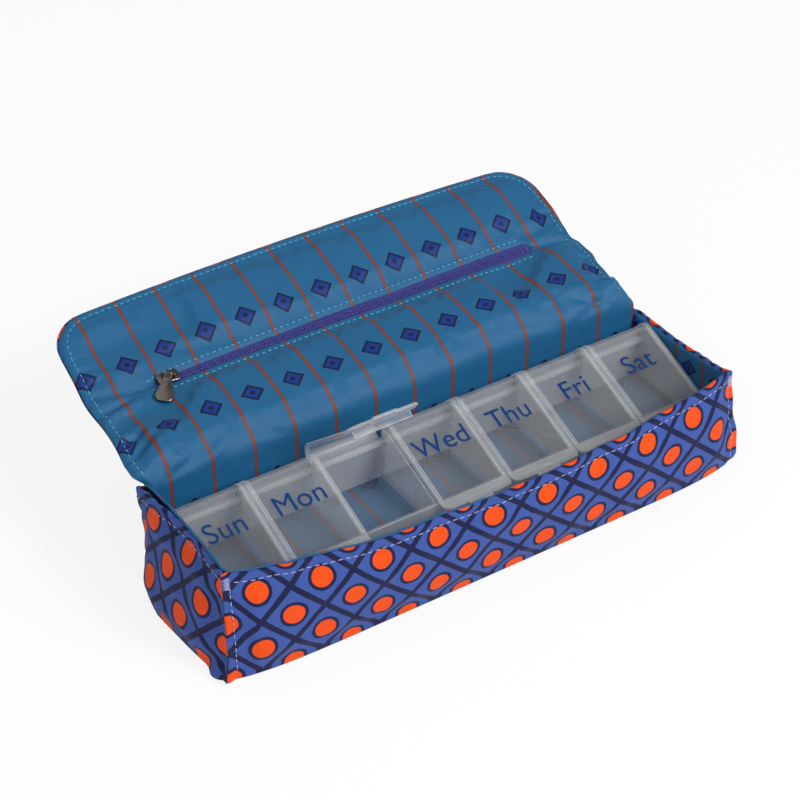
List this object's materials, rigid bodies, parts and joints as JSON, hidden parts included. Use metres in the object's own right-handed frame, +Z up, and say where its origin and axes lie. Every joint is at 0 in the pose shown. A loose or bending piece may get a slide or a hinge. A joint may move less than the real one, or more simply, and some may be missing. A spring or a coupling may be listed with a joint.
{
  "type": "pill organizer",
  "caption": "Padded cloth case with a fold-back flap and zip pocket, holding a lift-out frosted strip of day compartments, each under its own hinged, labelled lid.",
  "frame": {"origin": "middle of the base, on the surface that the case stands on", "axes": "+X along the case from its first day to its last, +Y from the front to the back where the flap folds, +Z up"},
  "size_m": [0.253, 0.158, 0.0747],
  "materials": {
    "outer_fabric": "matte",
    "lining_fabric": "matte",
    "padding": "matte",
    "stiffener": "matte",
    "pocket_fabric": "matte",
    "zip_tape": "matte",
    "zip_nylon": "satin",
    "zip_metal": "satin",
    "magnet": "satin",
    "frosted_plastic": "satin"
  },
  "bodies": {
    "case": {"base_outer": "outer_fabric", "base_board": "stiffener", "base_foam": "padding", "base_lining": "lining_fabric", "front_outer": "outer_fabric", "front_padding": "padding", "front_lining": "lining_fabric", "front_magnets": "magnet", "back_outer": "outer_fabric", "back_board": "stiffener", "back_lining": "lining_fabric", "hinge_fold": "outer_fabric", "left_end_outer": "outer_fabric", "left_end_padding": "padding", "left_end_lining": "lining_fabric", "right_end_outer": "outer_fabric", "right_end_padding": "padding", "right_end_lining": "lining_fabric"},
    "flap": {"flap_outer": "outer_fabric", "flap_board": "stiffener", "pocket_bag": "pocket_fabric", "flap_lining_lower": "lining_fabric", "flap_lining_upper": "lining_fabric", "zip_tape_lower": "zip_tape", "zip_tape_upper": "zip_tape", "zip_coil": "zip_nylon", "zip_stops": "zip_nylon"},
    "flap_tip": {"flap_tip_outer": "outer_fabric", "flap_tip_board": "stiffener", "flap_tip_lining": "lining_fabric", "flap_magnets": "magnet"},
    "zip_slider": {"zip_slider": "zip_metal"},
    "zip_pull_tab": {"zip_pull_tab": "zip_metal"},
    "tray": {"tray": "frosted_plastic"},
    "lid_sunday": {"lid_sunday": "frosted_plastic"},
    "lid_monday": {"lid_monday": "frosted_plastic"},
    "lid_tuesday": {"lid_tuesday": "frosted_plastic"},
    "lid_wednesday": {"lid_wednesday": "frosted_plastic"},
    "lid_thursday": {"lid_thursday": "frosted_plastic"},
    "lid_friday": {"lid_friday": "frosted_plastic"},
    "lid_saturday": {"lid_saturday": "frosted_plastic"}
  },
  "joints": [
    {"name": "flap_hinge", "type": "hinge", "parent": "case", "child": "flap", "pos_m": [0, 0.03235, 0.052], "axis": [1, 0, 0], "range_deg": [-13, 169]},
    {"name": "flap_tip_fold", "type": "hinge", "parent": "flap", "child": "flap_tip", "pos_m": [0, 0.10619, 0.07127], "axis": [1, 0, 0], "range_deg": [0, 80]},
    {"name": "zip_slide", "type": "slide", "parent": "flap", "child": "zip_slider", "axis": [-1, 0, 0], "range_m": [-0.17, 0]},
    {"name": "pull_lift", "type": "hinge", "parent": "zip_slider", "child": "zip_pull_tab", "pos_m": [-0.08505, 0.07373, 0.06264], "axis": [0.809, -0.5691, -0.1472], "range_deg": [-110, 0]},
    {"name": "tray_lift", "type": "slide", "parent": "case", "child": "tray", "axis": [0, 0, -1], "range_m": [-0.06, 0]},
    {"name": "lid_sunday_hinge", "type": "hinge", "parent": "tray", "child": "lid_sunday", "pos_m": [0, 0.0217, 0.03312], "axis": [1, 0, 0], "range_deg": [-70, 0]},
    {"name": "lid_monday_hinge", "type": "hinge", "parent": "tray", "child": "lid_monday", "pos_m": [0, 0.0217, 0.03312], "axis": [1, 0, 0], "range_deg": [-70, 0]},
    {"name": "lid_tuesday_hinge", "type": "hinge", "parent": "tray", "child": "lid_tuesday", "pos_m": [0, 0.0217, 0.03312], "axis": [1, 0, 0], "range_deg": [-9, 61]},
    {"name": "lid_wednesday_hinge", "type": "hinge", "parent": "tray", "child": "lid_wednesday", "pos_m": [0, 0.0217, 0.03312], "axis": [1, 0, 0], "range_deg": [-70, 0]},
    {"name": "lid_thursday_hinge", "type": "hinge", "parent": "tray", "child": "lid_thursday", "pos_m": [0, 0.0217, 0.03312], "axis": [1, 0, 0], "range_deg": [-70, 0]},
    {"name": "lid_friday_hinge", "type": "hinge", "parent": "tray", "child": "lid_friday", "pos_m": [0, 0.0217, 0.03312], "axis": [1, 0, 0], "range_deg": [-70, 0]},
    {"name": "lid_saturday_hinge", "type": "hinge", "parent": "tray", "child": "lid_saturday", "pos_m": [0, 0.0217, 0.03312], "axis": [1, 0, 0], "range_deg": [-70, 0]}
  ],
  "couplings": [
    {"joint": "lid_tuesday_hinge", "follows": "flap_hinge", "ratio": 0.36095}
  ]
}
